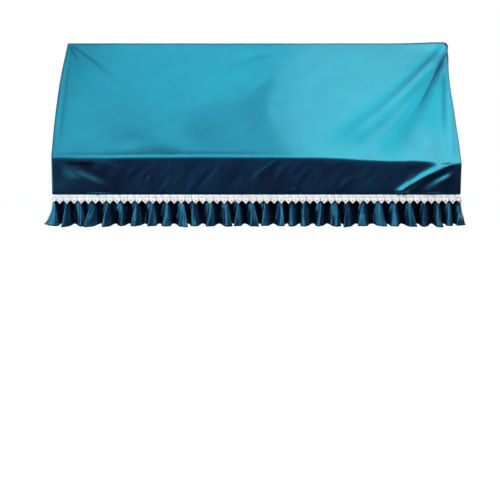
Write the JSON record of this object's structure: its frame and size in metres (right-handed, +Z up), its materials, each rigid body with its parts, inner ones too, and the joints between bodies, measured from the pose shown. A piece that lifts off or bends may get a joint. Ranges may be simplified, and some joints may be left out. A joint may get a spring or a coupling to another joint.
{
  "type": "upright piano cover",
  "caption": "Fitted teal velvet cover for an upright piano, sloping out over the keyboard, with white crocheted lace edging and a gathered frill along its hem.",
  "frame": {"origin": "middle of the underside of the cover's top, where it rests on the piano", "axes": "+X to the right along the piano's width seen from the front, +Y to the back, +Z up; the front faces -Y"},
  "size_m": [1.5726, 0.6568, 0.7102],
  "materials": {
    "velvet": "short-pile velvet with a satin lustre",
    "lace": "matt crocheted cotton"
  },
  "bodies": {
    "root": {"main_panel": "velvet", "side_panel_left": "velvet", "side_panel_right": "velvet", "frill": "velvet", "lace_edging": "lace"}
  },
  "joints": []
}
